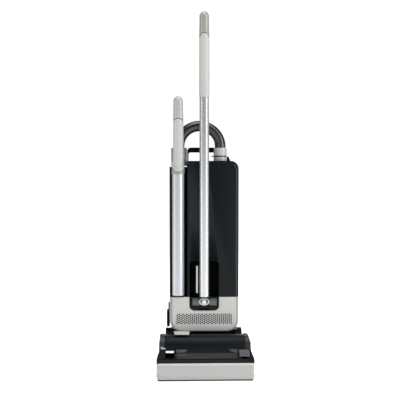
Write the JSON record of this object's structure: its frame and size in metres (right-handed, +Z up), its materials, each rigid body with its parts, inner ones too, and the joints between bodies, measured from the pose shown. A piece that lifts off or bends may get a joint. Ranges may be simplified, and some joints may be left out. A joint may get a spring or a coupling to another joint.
{
  "type": "upright vacuum cleaner",
  "caption": "Commercial upright vacuum cleaner: motor-driven brush head, tilting body with bag housing, lift-out wand, short hose and a long handle tube.",
  "frame": {"origin": "centre of the machine's box at floor level", "axes": "+Z up, +X to the right seen from the front, the bumper faces -Y"},
  "size_m": [0.32, 0.33, 1.215],
  "materials": {
    "black_plastic": "fine grained",
    "bumper_grey": "satin",
    "cover_gloss": "semi-gloss",
    "navy_black": "satin",
    "plated_steel": "plated",
    "motor_metal": "bare can",
    "fan_metal": "bright",
    "belt_rubber": "matte",
    "brush_core": "matte",
    "bristle": "matte",
    "hub_plastic": "satin",
    "tyre": "matte",
    "roller": "satin",
    "light_grey": "satin",
    "white_plastic": "gloss",
    "mid_grey": "satin",
    "anthracite": "fine grained",
    "filter_paper": "matte",
    "filter_foam": "matte",
    "panel_gloss": "gloss",
    "badge_silver": "satin",
    "lens": "tinted",
    "bag_paper": "matte",
    "card": "matte card",
    "cuff_grey": "satin",
    "hose_black": "semi-gloss",
    "tube_metal": "anodised",
    "warm_grey": "satin",
    "cap_grey": "satin"
  },
  "bodies": {
    "head": {"head_base": "black_plastic", "sole_plate": "black_plastic", "front_bumper": "bumper_grey", "head_cover": "cover_gloss", "brush_motor_cover": "navy_black", "cheeks": "cover_gloss", "pivot_arms": "black_plastic", "pivot_pins": "plated_steel", "wheel_axles": "plated_steel", "brush_motor": "motor_metal", "drive_belt": "belt_rubber", "brush_bearings": "plated_steel"},
    "brush_roller": {"brush_core": "brush_core", "brush_bristles": "bristle"},
    "brush_rotor": {"motor_pinion": "motor_metal"},
    "left_wheel": {"wheel_left": "hub_plastic", "tyre_left": "tyre"},
    "right_wheel": {"wheel_right": "hub_plastic", "tyre_right": "tyre"},
    "rollers": {"front_rollers": "roller"},
    "pedal": {"tilt_pedal": "light_grey"},
    "release": {"release_tab": "white_plastic"},
    "height": {"height_slide": "mid_grey"},
    "upright": {"upright_base": "black_plastic", "motor_housing_front": "light_grey", "motor_housing_rear": "anthracite", "exhaust_grille": "light_grey", "exhaust_filter": "filter_paper", "control_panel": "panel_gloss", "badge": "badge_silver", "indicator_lenses": "lens", "suction_motor": "motor_metal", "motor_seals": "belt_rubber", "duct_elbow": "black_plastic", "wand_socket": "black_plastic", "bag_housing": "anthracite", "pre_motor_filter": "filter_foam", "dust_bag": "bag_paper", "bag_collar": "card", "hose_cuff": "cuff_grey", "cuff_ring": "black_plastic", "hose": "hose_black", "carry_handle": "black_plastic", "fill_gauge": "white_plastic", "handle_tube": "tube_metal", "handle_grip": "warm_grey", "handle_cap": "cap_grey", "cable_hook_lower": "black_plastic", "mains_inlet": "black_plastic", "housing_screws": "plated_steel", "hinge_pin": "plated_steel"},
    "fan": {"motor_fan": "fan_metal"},
    "switch": {"power_switch": "panel_gloss"},
    "door": {"bag_door": "anthracite"},
    "latch": {"door_latch": "black_plastic"},
    "cable_hook": {"cable_hook_upper": "black_plastic"},
    "wand": {"wand_tube": "tube_metal", "wand_head": "warm_grey", "wand_grip": "warm_grey", "wand_cap": "cap_grey"}
  },
  "joints": [
    {"name": "body_tilt", "type": "hinge", "parent": "head", "child": "upright", "pos_m": [0, 0.065, 0.085], "axis": [-1, 0, 0], "range_deg": [0, 80]},
    {"name": "left_wheel_spin", "type": "hinge", "parent": "head", "child": "left_wheel", "pos_m": [-0.143, 0.115, 0.045], "axis": [1, 0, 0], "continuous": true},
    {"name": "right_wheel_spin", "type": "hinge", "parent": "head", "child": "right_wheel", "pos_m": [0.143, 0.115, 0.045], "axis": [1, 0, 0], "continuous": true},
    {"name": "roller_spin", "type": "hinge", "parent": "head", "child": "rollers", "pos_m": [0, -0.058, 0.01], "axis": [1, 0, 0], "continuous": true},
    {"name": "brush_spin", "type": "hinge", "parent": "head", "child": "brush_roller", "pos_m": [0, -0.11, 0.033], "axis": [1, 0, 0], "continuous": true},
    {"name": "brush_motor_spin", "type": "hinge", "parent": "head", "child": "brush_rotor", "pos_m": [0, -0.058, 0.092], "axis": [1, 0, 0], "continuous": true},
    {"name": "pedal_press", "type": "hinge", "parent": "head", "child": "pedal", "pos_m": [-0.0765, -0.023, 0.1315], "axis": [1, 0, 0], "range_deg": [0, 8], "stiffness_Nm_per_rad": 8},
    {"name": "release_slide", "type": "slide", "parent": "head", "child": "release", "axis": [0, -0.9149, -0.4036], "range_m": [0, 0.008], "stiffness_N_per_m": 400, "springref_m": -0.002},
    {"name": "height_adjust", "type": "slide", "parent": "head", "child": "height", "axis": [0, -0.9149, -0.4036], "range_m": [0, 0.011]},
    {"name": "fan_spin", "type": "hinge", "parent": "upright", "child": "fan", "pos_m": [0.01, 0.062, 0.2], "axis": [0, 0, 1], "continuous": true},
    {"name": "power_rocker", "type": "hinge", "parent": "upright", "child": "switch", "pos_m": [0, -0.009, 0.213], "axis": [1, 0, 0], "range_deg": [-8, 8]},
    {"name": "bag_door_hinge", "type": "hinge", "parent": "upright", "child": "door", "pos_m": [0, 0.138, 0.258], "axis": [-1, 0, 0], "range_deg": [0, 95]},
    {"name": "door_latch_slide", "type": "slide", "parent": "door", "child": "latch", "axis": [0, 0, -1], "range_m": [0, 0.006], "stiffness_N_per_m": 300, "springref_m": -0.002},
    {"name": "cable_hook_swivel", "type": "hinge", "parent": "upright", "child": "cable_hook", "pos_m": [0.092, 0.138, 0.694], "axis": [0, 1, 0], "range_deg": [0, 180]},
    {"name": "wand_lift", "type": "slide", "parent": "upright", "child": "wand", "axis": [0, 0, 1], "range_m": [0, 0.45], "deforming": ["hose"]}
  ],
  "couplings": [
    {"joint": "brush_motor_spin", "follows": "brush_spin", "ratio": 1.75}
  ]
}
